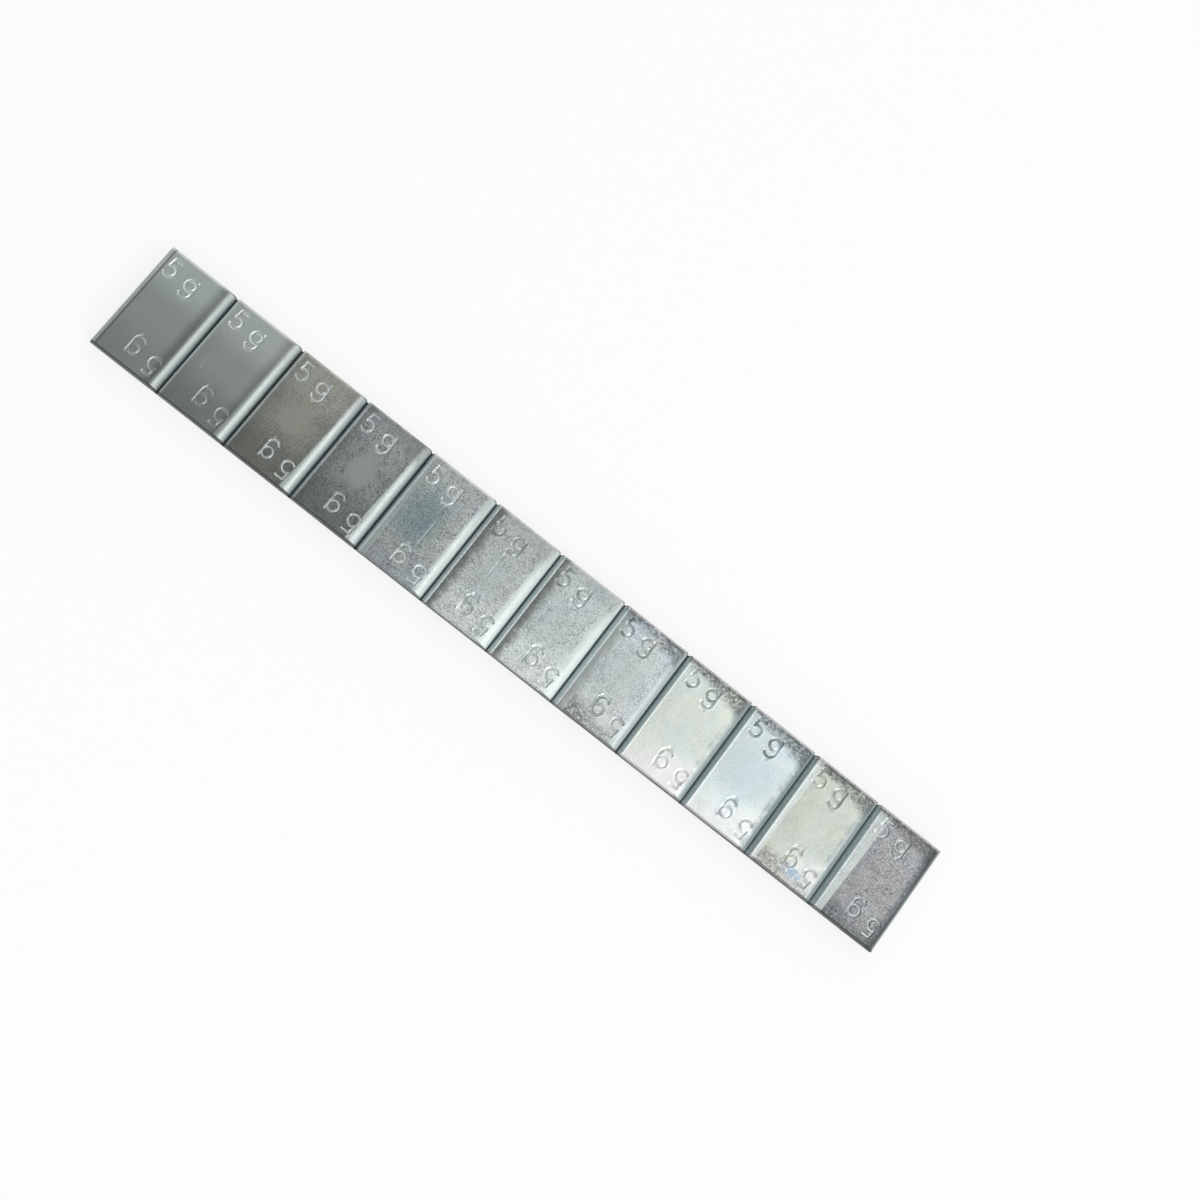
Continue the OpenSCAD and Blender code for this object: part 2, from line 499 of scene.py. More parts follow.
def liner_inset(t, x, y):
    """The film's cut side, with ragged ends and a small chip out of one corner."""
    cut = FILM_CUT + FILM_WAVE * waves(x, y, size=22.0, seed=21)
    cut = np.clip(cut, 0, FILM_LIMIT)
    at_end = smooth((np.abs(x) / liner_hi[0] - RAGGED_FROM) / RAGGED_BLEND)
    ragged = RAGGED + RAGGED_WAVE * waves(y, x * 0.02, size=1.3, seed=31)
    ragged = at_end * np.clip(ragged, 0, RAGGED_LIMIT)
    apart = (x - liner_lo[0]) ** 2 + (y - liner_lo[1]) ** 2
    chip = CHIP_DEPTH * np.exp(-apart / CHIP_SPREAD)
    face = FACE_WEAR if t in (0.0, 1.0) else 0.0
    return cut + ragged + chip + face


# materials

class Graph:
    """A node tree, with a short name for each kind of node that is used here."""

    def __init__(self, tree):
        self.tree = tree
        tree.nodes.clear()

    def add(self, kind):
        return self.tree.nodes.new("ShaderNode" + kind)

    def put(self, value, socket):
        """Set a socket to a number or a colour, or link it to an output."""
        if isinstance(value, (int, float)):
            socket.default_value = value
        elif isinstance(value, tuple):
            socket.default_value = (*value, 1)
        else:
            self.tree.links.new(value, socket)

    def calc(self, op, a, b=0.0, clamp=False):
        node = self.add("Math")
        node.operation = op
        node.use_clamp = clamp
        self.put(a, node.inputs[0])
        self.put(b, node.inputs[1])
        return node.outputs[0]

    def plus(self, a, b, clamp=False):
        return self.calc("ADD", a, b, clamp)

    def minus(self, a, b):
        return self.calc("SUBTRACT", a, b)

    def times(self, first, *others, clamp=False):
        """Product of two or more values, and only the last step is clamped."""
        for i, other in enumerate(others):
            first = self.calc("MULTIPLY", first, other, clamp and i == len(others) - 1)
        return first

    def rest(self, a):
        return self.calc("SUBTRACT", 1.0, a)

    def negative(self, a):
        return self.calc("MULTIPLY", a, -1.0)

    def most(self, a, b, clamp=False):
        return self.calc("MAXIMUM", a, b, clamp)

    def magnitude(self, a):
        return self.calc("ABSOLUTE", a)

    def mix(self, share, a, b, mode="MIX"):
        node = self.add("Mix")
        node.data_type = "RGBA"
        node.blend_type = mode
        for value, i in ((share, 0), (a, 6), (b, 7)):
            self.put(value, node.inputs[i])
        return node.outputs[2]

    def tinted(self, colour, factor):
        return self.mix(1.0, colour, factor, "MULTIPLY")

    def split(self, vector):
        node = self.add("SeparateXYZ")
        self.put(vector, node.inputs[0])
        return node.outputs

    def coords(self):
        """Object coordinates in millimetres."""
        return self.stretch(self.add("TexCoord").outputs["Object"], (1 / MM,) * 3)

    def stretch(self, vector, scale):
        node = self.add("Mapping")
        node.inputs["Scale"].default_value = scale
        self.put(vector, node.inputs["Vector"])
        return node.outputs[0]

    def noise(self, vector, scale, detail, rough, distort=0.0):
        node = self.add("TexNoise")
        for key, value in (("Vector", vector), ("Scale", scale), ("Detail", detail),
                           ("Roughness", rough), ("Distortion", distort)):
            self.put(value, node.inputs[key])
        return node.outputs[0]

    def ramp(self, value, stops, interpolation="LINEAR"):
        """Greys or colours at the given places of a value."""
        node = self.add("ValToRGB")
        bar = node.color_ramp
        bar.interpolation = interpolation
        while len(bar.elements) < len(stops):
            bar.elements.new(0.5)
        for element, (place, colour) in zip(bar.elements, stops):
            element.position = place
            element.color = (*colour, 1) if isinstance(colour, tuple) else (*[colour] * 3, 1)
        self.put(value, node.inputs[0])
        return node.outputs[0]

    def between(self, value, low, high):
        """0 below low, 1 above high, and smooth between them."""
        node = self.add("MapRange")
        node.interpolation_type = "SMOOTHSTEP"
        for key, number in (("Value", value), ("From Min", low), ("From Max", high)):
            self.put(number, node.inputs[key])
        return node.outputs[0]

    def bump(self, height, strength, distance, normal=None):
        node = self.add("Bump")
        for key, value in (("Height", height), ("Strength", strength), ("Distance", distance)):
            self.put(value, node.inputs[key])
        if normal is not None:
            self.put(normal, node.inputs["Normal"])
        return node.outputs[0]

    def attribute(self, name):
        node = self.add("Attribute")
        node.attribute_name = name
        return node.outputs["Fac"]

    def ellipse(self, x, y, at, size):
        """Distance from a point, 1 on an ellipse of the given half sizes."""
        dx = self.calc("DIVIDE", self.minus(x, at[0]), size[0])
        dy = self.calc("DIVIDE", self.minus(y, at[1]), size[1])
        return self.calc("SQRT", self.plus(self.times(dx, dx), self.times(dy, dy)))


class Surface(Graph):
    """A material with one Principled shader, linked to its output."""

    def __init__(self, name):
        self.material = bpy.data.materials.new(name)
        self.material.use_nodes = True
        super().__init__(self.material.node_tree)
        self.shader = self.add("BsdfPrincipled")
        self.out = self.add("OutputMaterial")
        self.put(self.shader.outputs[0], self.out.inputs[0])

    def set(self, **sockets):
        """Set or link the shader's sockets, named with underlines for spaces."""
        for key, value in sockets.items():
            self.put(value, self.shader.inputs[key.replace("_", " ")])


# how each pad of the strip looks, from the first to the last; each pad's tone is partly its own and
# partly a painted reflection, darker or brighter as the pad would mirror the room
TONE_AND_REFLECTION = [(0.43, 0.46, 0.435), (0.42, 0.445, 0.425), (0.43, 0.425, 0.38), (0.44, 0.455, 0.445),
        (0.70, 0.745, 0.74), (0.77, 0.82, 0.805), (0.80, 0.87, 0.86), (0.76, 0.82, 0.83),
        (0.78, 0.825, 0.76), (0.73, 0.815, 0.82), (0.62, 0.655, 0.595), (0.40, 0.405, 0.42)]
# painted light and shade: brightness of the near and the far end, against the tone
NEAR_END_SHADING = [0.84, 0.70, 0.62, 0.60, 0.82, 1.24, 1.26, 1.05, 1.12, 1.18, 1.10, 0.95]
FAR_END_SHADING = [1.40, 1.40, 1.32, 1.24, 1.00, 0.92, 1.02, 1.10, 1.06, 1.04, 1.06, 1.15]
# strength of tints, speckles and grain on the flat of a pad
TINTED = [0.15, 0.15, 0.2, 0.35, 0.35, 0.12, 0.25, 0.5, 0.35, 0.3, 0.35, 0.3]
SPECKLED = [0.03, 0.03, 0.60, 0.75, 0.70, 0.65, 0.60, 0.50, 0.14, 0.16, 0.20, 0.75]
SMOOTH_MIDDLE = [0.0, 0.0, 1.0, 1.0, 0.2, 0.2, 0.2, 0.3, 0.6, 0.6, 0.6, 0.0]
BLUE_MIDDLE = [0.0, 0.0, 0.0, 0.10, 1.0, 0.10, 0.15, 0.20, 0.0, 0.12, 0.0, 0.0]
LIGHT_GRAIN = [0.0, 0.0, 0.1, 0.25, 0.5, 0.8, 0.8, 0.5, 0.2, 0.2, 0.2, 0.2]
BLUSH = [0.0, 0.0, 0.0, 0.0, 0.0, 0.0, 0.2, 0.4, 1.0, 0.7, 0.5, 0.0]
STREAKED = [0.0, 0.0, 0.05, 0.1, 0.25, 0.4, 0.3, 0.2, 0.05, 0.05, 0.05, 1.0]
# strength of dark bands: painted shade and reflection beside the grooves, dark mottling along the
# long edges and in a corner, and painted shade on the near side
DARK_LEFT = [0.0, 0.1, 0.3, 0.5, 0.3, 1.0, 1.0, 0.5, 0.0, 0.0, 0.0, 0.0]
DARK_BEFORE = [0.85, 0.65, 0.35, 0.25, 0.0, 0.0, 0.0, 0.0, 0.0, 0.0, 0.0, 0.0]
DARK_SHOULDER = [0.0, 0.0, 0.0, 0.0, 0.0, 0.0, 0.0, 0.35, 0.55, 0.8, 0.6, 1.0]
DARK_FAR_EDGE = [0.0, 0.0, 0.15, 0.60, 0.25, 0.40, 0.50, 1.0, 1.0, 1.0, 1.0, 1.0]
DARK_NEAR_EDGE = [0.0, 0.0, 0.1, 0.1, 0.1, 0.1, 0.15, 0.75, 0.1, 0.1, 0.55, 0.9]
DARK_CORNER = [0.20, 0.25, 0.40, 0.5, 0.2, 0.1, 0.1, 1.0, 0.15, 0.15, 0.85, 1.0]
DARK_NEAR_SIDE = [1.0, 1.0, 1.0, 0.9, 0.5, 0.3, 0.3, 0.4, 0.4, 0.4, 0.6, 0.8]
# strength of painted light: pale bands beside the grooves, pale walls and a pale far rim
LEFT_SLOPE_HIGHLIGHT = [0.0, 0.0, 0.0, 0.1, 0.4, 0.5, 0.7, 0.8, 0.9, 1.0, 0.9, 0.6]
PALE_WALL = [0.0, 0.3, 0.0, 0.6, 0.6, 0.9, 1.0, 0.8, 0.8, 1.0, 0.8, 1.0]
PALE_DRAWN = [0.5, 0.5, 0.4, 0.4, 1.0, 1.0, 1.0, 0.6, 0.3, 0.2, 0.3, 0.1]
PALE_RIM = [0.2, 0.2, 0.1, 0.1, 0.6, 0.4, 0.5, 0.7, 0.9, 0.9, 0.9, 0.9]
# painted highlight: brightness of the slope before each right groove
SHINE = [0.60, 0.78, 1.0, 1.0, 0.92, 0.93, 0.85, 1.0, 1.0, 1.0, 1.0, 1.0]
# strength of the painted highlight and the painted shade in the stamped strokes
PALE_MARKS = [0.25, 0.25, 0.75, 0.75, 0.75, 0.6, 0.5, 0.4, 0.25, 0.25, 0.25, 0.6]
DARK_MARKS = [0.0, 0.0, 0.1, 0.1, 0.1, 0.75, 0.85, 0.85, 0.9, 0.9, 0.9, 0.1]
# these pick out one pad
FIRST_PAD = [1.0] + [0.0] * (PAD_COUNT - 1)
LAST_PAD = FIRST_PAD[::-1]

# colours of the plated steel, and of the light and shade painted on it
BLUE_FACTOR = (0.50, 0.60, 0.635)
BLUSH_COLOUR = (1.0, 0.965, 0.965)
SMOOTH_DULL, SMOOTH_HIGHLIGHT = (0.66, 0.72, 0.73), (0.90, 0.96, 0.95)
FACET_FACTOR = (0.82, 0.84, 0.825)
BEFORE_FACTOR = (0.42, 0.43, 0.43)
FADED_SLOPE = (0.22, 0.25, 0.25)
SHOULDER_SHADE = (0.17, 0.22, 0.235)
GRAIN_LIGHT = (0.90, 0.93, 0.93)
LEFT_SHADE = (0.13, 0.14, 0.14)
DARK_MOTTLE_AND_SHADE = (0.085, 0.090, 0.092)
DARK_END = (0.055, 0.06, 0.06)
RIM_HIGHLIGHT = (0.74, 0.73, 0.73)
BAND_COLOUR, LINE_COLOUR = (0.62, 0.64, 0.63), (0.12, 0.125, 0.12)
STREAK_COLOUR = (0.52, 0.52, 0.54)
STAIN_COLOUR = (0.22, 0.38, 0.60)
MARK_PALE, MARK_DARK = (0.76, 0.80, 0.80), (0.07, 0.085, 0.09)
WALL_DULL = (0.44, 0.50, 0.50)
WALL_DRAWN_PALE, WALL_CUT_PALE = (0.90, 0.96, 0.935), (0.80, 0.96, 1.0)
GROOVE_SHADE_AND_DIRT = (0.035, 0.040, 0.045)
SIDE_SHADE = (0.03, 0.034, 0.034)
TINT_STOPS = [(0.36, (0.86, 0.95, 1.10)), (0.50, (1.0, 1.0, 1.0)), (0.64, (1.05, 1.03, 0.90))]

# places of patterns on a pad, from its middle, and their half sizes
BLUE_AT, BLUE_SIZE = (-1.2, 0.4), (3.3, 4.4)
MIDDLE_AT, MIDDLE_SIZE = (-0.2, 0.2), (2.2, 2.8)
CORNER_AT, CORNER_SIZE = (-3.4, -HALF_W + 0.5), (4.6, 2.6)
NEAR_EDGE_AT, NEAR_EDGE_SIZE = (2.0, -HALF_W + 0.4), (4.6, 1.5)
# a blue passivation stain on the last pad but one, from the strip's middle
STAIN_AT = (float(steel_lo[0]) + PITCH * 10.5 + 1.2, -HALF_W + 2.1)
STAIN_SIZE = (1.5, 1.0)
# how far a patch with a wavy rim reaches, and how soft its rim is
PATCH_REACH, PATCH_WAVE = 1.45, 0.9
SOFT_RIM, VERY_SOFT_RIM = 0.35, 0.6
# where the near and the far end of a pad begin and are full
END_FROM, END_FULL = 1.0, 6.5


class Zinc(Surface):
    """Zinc plate with a thin blue and yellow passivation, fine grain and dark mottling, and painted
    light and shade on its pads, slopes, rims, strokes, walls and sides.
    """

    def __init__(self):
        super().__init__("zinc_plate")
        self.places()
        self.grain = self.noise(self.place, scale=2.6, detail=6.0, rough=0.78)
        self.small = self.noise(self.place, scale=4.2, detail=4.0, rough=0.8)
        self.blot = self.noise(self.place, scale=0.55, detail=4.0, rough=0.65, distort=0.4)
        self.rubbed = self.attribute("rubbed")
        self.slope = self.slopes()
        # each pad's tone, partly a painted reflection
        self.colour = self.per_pad(TONE_AND_REFLECTION)
        self.tones()
        self.smooth_slopes()
        self.speckles()
        self.dark_edges()
        self.free_end()
        self.streaks_and_stain()
        self.stamped_strokes()
        self.walls()
        self.sides()
        self.set(Base_Color=self.colour)
        self.gloss()

    def places(self):
        """Where a point is: on the strip, along it in pads, and from its pad's middle."""
        self.place = self.coords()
        self.x, self.y, self.z = self.split(self.place)
        share = self.plus(self.x, -float(steel_lo[0]))
        self.share = self.calc("DIVIDE", share, PITCH * PAD_COUNT)
        pad_share = self.calc("FRACT", self.times(self.share, float(PAD_COUNT)))
        self.pad_x = self.times(self.minus(pad_share, 0.5), PITCH)
        self.pad_left = self.negative(self.pad_x)
        self.on_left = self.calc("LESS_THAN", self.pad_x, 0.0)
        self.on_right = self.rest(self.on_left)
        self.near = self.between(self.negative(self.y), END_FROM, END_FULL)

    def per_pad(self, values):
        """One value a pad, by the share of the strip's length."""
        stops = [(i / len(values), value) for i, value in enumerate(values)]
        return self.ramp(self.share, stops, "CONSTANT")

    def paint(self, share, colour):
        """Lay a colour over what is there."""
        self.colour = self.mix(share, self.colour, colour)

    def shade(self, share, factor):
        """Multiply what is there by a factor."""
        self.colour = self.mix(share, self.colour, self.tinted(self.colour, factor))

    def wavy(self, value, size):
        """A value with the edges of its bands made uneven."""
        return self.plus(value, self.times(self.minus(self.blot, 0.5), size))

    def patch(self, at, size, soft):
        """1 inside an ellipse on each pad and 0 outside, with an uneven rim."""
        distance = self.ellipse(self.pad_x, self.y, at, size)
        distance = self.plus(distance, self.times(self.blot, PATCH_WAVE))
        return self.rest(self.between(distance, PATCH_REACH - soft, PATCH_REACH + soft))

    def slopes(self):
        """The sloped shoulders on both sides of the grooves, and the rubbed bands."""
        right = self.between(self.pad_x, FLAT_RIGHT + 0.1, FLAT_RIGHT + 0.7)
        left = self.between(self.pad_left, FLAT_LEFT - 0.25, FLAT_LEFT)
        return self.most(self.most(right, left), self.rubbed)

    def tones(self):
        """Tints, painted light and shade on the near and far ends, a blue patch and a faint blush.
        """
        cloud = self.noise(self.place, scale=0.17, detail=3.0, rough=0.55, distort=0.5)
        self.shade(self.per_pad(TINTED), self.ramp(cloud, TINT_STOPS))
        self.shade(self.near, self.per_pad(NEAR_END_SHADING))
        self.shade(self.between(self.y, END_FROM, END_FULL), self.per_pad(FAR_END_SHADING))
        blue = self.patch(BLUE_AT, BLUE_SIZE, VERY_SOFT_RIM)
        self.shade(self.times(blue, self.per_pad(BLUE_MIDDLE)), BLUE_FACTOR)
        blush = self.between(self.minus(self.times(self.pad_x, 0.4), self.y), 3.5, 8.0)
        self.paint(self.times(blush, self.per_pad(BLUSH)), BLUSH_COLOUR)

    def smooth_slopes(self):
        """The slopes are smoother, cooler and paler than the pads, a painted highlight, with painted
        shade before and on some right shoulders and towards the far edge.
        """
        # painted highlight: the slopes are paler than the pads, most on the left slopes
        pale = self.times(self.per_pad(LEFT_SLOPE_HIGHLIGHT), self.on_left)
        skin = self.mix(pale, SMOOTH_DULL, SMOOTH_HIGHLIGHT)
        facet = self.times(self.rubbed, self.on_right)
        skin = self.mix(facet, skin, self.tinted(skin, FACET_FACTOR))
        skin = self.mix(self.on_left, self.tinted(skin, self.per_pad(SHINE)), skin)
        self.paint(self.times(self.slope, 0.85), skin)
        # painted reflection: the first pads darken towards their right shoulder
        before = self.between(self.pad_x, FLAT_RIGHT - 1.7, FLAT_RIGHT + 0.3)
        after = self.between(self.pad_x, FLAT_RIGHT + 0.35, FLAT_RIGHT + 0.75)
        before = self.times(before, self.per_pad(DARK_BEFORE), self.rest(after))
        self.shade(before, BEFORE_FACTOR)
        # painted shade: the highlight on the right slopes fades towards the far edge
        far = self.between(self.y, 2.0, 9.0)
        self.paint(self.times(self.slope, far, 0.5, self.on_right), FADED_SLOPE)
        edge = self.between(self.wavy(self.pad_x, 1.6), FLAT_RIGHT - 0.5, FLAT_RIGHT + 0.7)
        self.paint(self.times(edge, self.per_pad(DARK_SHOULDER)), SHOULDER_SHADE)

    def speckles(self):
        """Dark and light grain over the pads, and a band of painted shade after their left groove.
        """
        less = self.minus(0.75, self.times(self.on_left, 0.2))
        self.flat = self.rest(self.times(self.slope, less))
        middle = self.patch(MIDDLE_AT, MIDDLE_SIZE, SOFT_RIM)
        middle = self.times(middle, self.per_pad(SMOOTH_MIDDLE))
        dark = self.times(self.per_pad(SPECKLED), self.rest(middle),
                          self.ramp(self.small, [(0.44, 1.0), (0.56, 0.0)]),
                          self.ramp(self.blot, [(0.36, 0.55), (0.62, 1.15)]), clamp=True)
        self.speckled = self.times(dark, self.flat)
        light = self.times(self.ramp(self.small, [(0.54, 0.0), (0.64, 1.0)]),
                           self.per_pad(LIGHT_GRAIN), self.rest(self.slope), clamp=True)
        self.paint(self.times(light, 0.5), GRAIN_LIGHT)
        band = self.rest(self.between(self.wavy(self.pad_x, 3.0), -5.2, -3.3))
        edge = self.between(self.pad_left, FLAT_LEFT - 0.30, FLAT_LEFT - 0.15)
        band = self.times(band, self.rest(edge), self.per_pad(DARK_LEFT))
        self.paint(self.times(band, 0.85), LEFT_SHADE)

    def far_edge(self):
        """A dark band along the far edge, deeper towards the right."""
        inwards = self.minus(HALF_W, self.y)
        inwards = self.minus(inwards, self.times(self.plus(self.pad_x, 5.0), 0.19))
        inwards = self.plus(inwards, self.times(self.blot, -2.6))
        return self.times(self.rest(self.between(inwards, -1.1, 0.9)),
                          self.per_pad(DARK_FAR_EDGE))

    def near_corner(self):
        """A dark patch in the near corner and a narrower one along the near edge."""
        corner = self.patch(CORNER_AT, CORNER_SIZE, VERY_SOFT_RIM)
        corner = self.times(corner, self.per_pad(DARK_CORNER))
        along = self.patch(NEAR_EDGE_AT, NEAR_EDGE_SIZE, VERY_SOFT_RIM)
        corner = self.most(corner, self.times(along, self.per_pad(DARK_NEAR_EDGE)))
        return self.times(corner, self.rest(self.times(self.rubbed, 0.7)))

    def dark_edges(self):
        """Dark mottling along the edges, painted shade on the last pad's end, and a painted shade
        line and a painted highlight at the far rim.
        """
        far = self.far_edge()
        skin = self.times(self.most(far, self.near_corner()),
                          self.ramp(self.grain, [(0.45, 0.95), (0.62, 0.24)]))
        # a painted shade line just inside the far rim, which itself carries a painted highlight
        line = self.times(self.between(self.y, HALF_W - 1.05, HALF_W - 0.65), far,
                          self.ramp(self.blot, [(0.40, 0.35), (0.55, 1.0)]))
        skin = self.most(skin, line)
        # painted shade: the last pad darkens towards its free end
        end_at = self.plus(self.pad_x, self.times(self.magnitude(self.y), 0.10))
        end = self.times(self.per_pad(LAST_PAD), self.between(end_at, 3.9, 6.2))
        mottled = self.ramp(self.grain, [(0.40, 0.95), (0.70, 0.45)])
        self.skin = self.most(skin, self.times(end, mottled))
        self.dark = self.most(self.speckled, self.times(self.skin, 0.92), clamp=True)
        self.paint(self.dark, DARK_MOTTLE_AND_SHADE)
        self.paint(self.times(end, 0.75), DARK_END)
        # painted highlight along the far rim
        rim = self.times(self.between(self.y, HALF_W - 0.46, HALF_W - 0.32),
                         self.per_pad(PALE_RIM),
                         self.ramp(self.grain, [(0.40, 0.35), (0.56, 0.85)]))
        self.paint(rim, RIM_HIGHLIGHT)

    def free_end(self):
        """The free end of the first pad: a painted highlight band and a painted shade line inside
        it.
        """
        first = self.per_pad(FIRST_PAD)
        inset = self.plus(self.pad_x, FLAT_LEFT)
        band = self.times(first, self.rest(self.between(inset, 0.40, 0.50)))
        self.paint(self.times(band, 0.45), BAND_COLOUR)
        line = self.times(self.between(inset, 0.42, 0.52),
                          self.rest(self.between(inset, 0.62, 0.80)), first)
        self.paint(self.times(line, 0.7), LINE_COLOUR)

    def streaks_and_stain(self):
        """Pale streaks from one groove to the next, and one blue stain."""
        streak = self.stretch(self.place, (1.5, 5.5, 1))
        streak = self.noise(streak, scale=1.0, detail=5.0, rough=0.75)
        self.streak = self.times(self.ramp(streak, [(0.52, 0.0), (0.62, 1.0)]),
                                 self.per_pad(STREAKED),
                                 self.minus(self.flat, self.times(self.skin, 0.8)), clamp=True)
        self.paint(self.times(self.streak, 0.6), STREAK_COLOUR)
        stain = self.plus(self.ellipse(self.x, self.y, STAIN_AT, STAIN_SIZE),
                          self.times(self.minus(self.grain, 0.5), 7.0))
        self.paint(self.times(self.rest(self.between(stain, 0.3, 1.3)), 0.7), STAIN_COLOUR)

    def stamped_strokes(self):
        """A painted highlight makes the strokes pale, and on most pads painted shade darkens their
        middle.
        """
        stamp = self.attribute("stamp")
        self.paint(self.times(self.between(stamp, 0.15, 0.8), self.per_pad(PALE_MARKS)),
                   MARK_PALE)
        dark = self.times(self.between(stamp, 0.4, 0.95), self.per_pad(DARK_MARKS),
                          self.rest(self.times(self.near, 0.45)))
        self.paint(self.times(dark, 0.9), MARK_DARK)

    def walls(self):
        """Duller walls, pale on many pads as painted light, and painted shade and dirt down in the
        grooves.
        """
        top = float(steel_hi[2])
        low = float(steel_lo[2])
        # the drawn wall starts lower down than the cut one
        height = self.plus(self.z, self.times(self.minus(self.on_left, 1.0), 0.2))
        # painted shade and dirt: dark low in every groove, and higher up on the drawn wall
        wall = self.rest(self.between(height, top - 1.0, top - 0.35))
        deep = self.rest(self.between(self.z, low + 0.55, low + 0.85))
        drawn = self.rest(self.between(self.z, low + 0.7, low + 1.35))
        deep = self.most(deep, self.times(drawn, self.between(self.pad_x, 0.0, 1.0)))
        # painted light: the pale walls stand for light they catch from the room
        cut_pale = self.times(self.per_pad(PALE_WALL), self.on_left)
        drawn_pale = self.times(self.on_right, self.per_pad(PALE_DRAWN))
        self.pale = self.most(cut_pale, drawn_pale)
        pale_colour = self.mix(self.on_left, WALL_DRAWN_PALE, WALL_CUT_PALE)
        wall_colour = self.mix(self.pale, WALL_DULL, pale_colour)
        less = self.times(self.pale, self.on_left, 0.3)
        self.wall = self.times(wall, self.rest(less))
        self.paint(self.times(self.wall, 0.8), wall_colour)
        self.paint(self.times(deep, 0.88), GROOVE_SHADE_AND_DIRT)

    def sides(self):
        """Painted shade darkens the long sides and a band along the near edge."""
        top = float(steel_hi[2])
        out = self.between(self.magnitude(self.y), HALF_W - 0.30, HALF_W - 0.06)
        side = self.times(out, self.rest(self.between(self.z, top - 0.55, top - 0.2)))
        near = self.between(self.negative(self.y), HALF_W - 0.40, HALF_W - 0.22)
        self.side = self.most(side, self.times(near, self.per_pad(DARK_NEAR_SIDE)))
        self.paint(self.times(self.side, 0.92), SIDE_SHADE)

    def gloss(self):
        """Walls and sides are less metallic, dark speckles, mottling and painted shade are rougher,
        and fine grain is bumped.
        """
        matt = self.times(self.wall, self.plus(0.5, self.times(self.pale, 0.5)))
        matt = self.most(matt, self.times(self.side, 0.7))
        rough = self.plus(0.25, self.times(self.grain, 0.14))
        rough = self.plus(rough, self.times(self.dark, 0.20))
        rough = self.plus(rough, self.times(self.wall, 0.20), clamp=True)
        bumps = self.bump(self.grain, strength=0.35, distance=0.00008)
        fine = self.noise(self.place, scale=7.0, detail=4.0, rough=0.7)
        bumps = self.bump(fine, strength=0.25, distance=0.00003, normal=bumps)
        bumps = self.bump(self.streak, strength=0.20, distance=0.00003, normal=bumps)
        self.set(Metallic=self.rest(matt), Roughness=rough, Normal=bumps)


FOAM_DEEP, FOAM_WALL, FOAM_DUST = (0.010, 0.010, 0.011), (0.030, 0.030, 0.033), (0.12, 0.12, 0.12)
FILM_DEEP, FILM_LIGHT = (0.055, 0.200, 0.500), (0.095, 0.275, 0.620)
FILM_WEAVE, FILM_SCUFF = (0.16, 0.38, 0.72), (0.62, 0.72, 0.80)


def foam_material():
    """Black closed-cell foam with a little dust."""
    g = Surface("black_foam")
    p = g.coords()
    voronoi = g.add("TexVoronoi")
    voronoi.inputs["Scale"].default_value = 5.5
    g.put(p, voronoi.inputs["Vector"])
    cell = voronoi.outputs["Distance"]
    colour = g.mix(g.ramp(cell, [(0.0, 0.0), (0.55, 1.0)]), FOAM_DEEP, FOAM_WALL)
    dust = g.ramp(g.noise(p, scale=1.5, detail=4.0, rough=0.6), [(0.58, 0.0), (0.75, 0.35)])
    g.set(Base_Color=g.mix(dust, colour, FOAM_DUST), Roughness=0.82, Specular_IOR_Level=0.3,
          Normal=g.bump(cell, strength=0.7, distance=0.00012))
    return g.material


def liner_material():
    """Blue film with a faint weave and pale scuffs along its rim."""
    g = Surface("blue_liner")
    p = g.coords()
    x, y, _ = g.split(p)
    cloud = g.noise(g.stretch(p, (0.35, 1, 1)), scale=0.12, detail=2.0, rough=0.5)
    colour = g.mix(g.ramp(cloud, [(0.35, 0.0), (0.65, 1.0)]), FILM_DEEP, FILM_LIGHT)
    weave = g.noise(g.stretch(p, (1.2, 9.0, 1)), scale=1.0, detail=2.0, rough=0.5)
    colour = g.mix(g.times(weave, 0.10), colour, FILM_WEAVE)
    # strips rub on each other in their box, which scuffs the rim
    in_x = g.minus(float(liner_hi[0]), g.magnitude(x))
    in_y = g.minus(float(liner_hi[1]), g.magnitude(y))
    rim = g.rest(g.between(g.calc("MINIMUM", in_x, in_y), 0.05, 0.75))
    flecks = g.ramp(g.noise(p, scale=2.2, detail=5.0, rough=0.75), [(0.52, 0.0), (0.60, 1.0)])
    scuffs = g.times(rim, flecks)
    rough = g.plus(g.plus(0.30, g.times(weave, 0.10)), g.times(scuffs, 0.3))
    soft = g.bump(cloud, strength=0.15, distance=0.0004)
    g.set(Base_Color=g.mix(g.times(scuffs, 0.75), colour, FILM_SCUFF), Roughness=rough,
          Specular_IOR_Level=0.5, Normal=g.bump(weave, strength=0.06, distance=0.00003, normal=soft))
    return g.material


# share of the floor's white that is its own, to the camera and in reflections
FLOOR_GLOW = 0.8


def floor_material():
    """White card: partly lit, and partly white by itself to the camera and in reflections."""
    g = Surface("white_floor")
    g.set(Base_Color=(0.95, 0.95, 0.95), Roughness=0.7, Specular_IOR_Level=0.2)
    path = g.add("LightPath").outputs
    seen = g.most(path["Is Camera Ray"], path["Is Glossy Ray"])
    seen = g.most(seen, path["Is Transmission Ray"])
    glow = g.add("Emission")
    g.put((1, 1, 1), glow.inputs["Color"])
    g.put(1.0, glow.inputs["Strength"])
    blend = g.add("MixShader")
    g.put(g.times(seen, FLOOR_GLOW), blend.inputs[0])
    g.put(g.shader.outputs[0], blend.inputs[1])
    g.put(glow.outputs[0], blend.inputs[2])
    g.put(blend.outputs[0], g.out.inputs[0])
    return g.material


# build

# the steel is drawn in parts, which keeps each under the limit of triangles
STEEL_PARTS = 3
FLOOR_SIZE = 3.0
FLOOR_Z = -0.00002


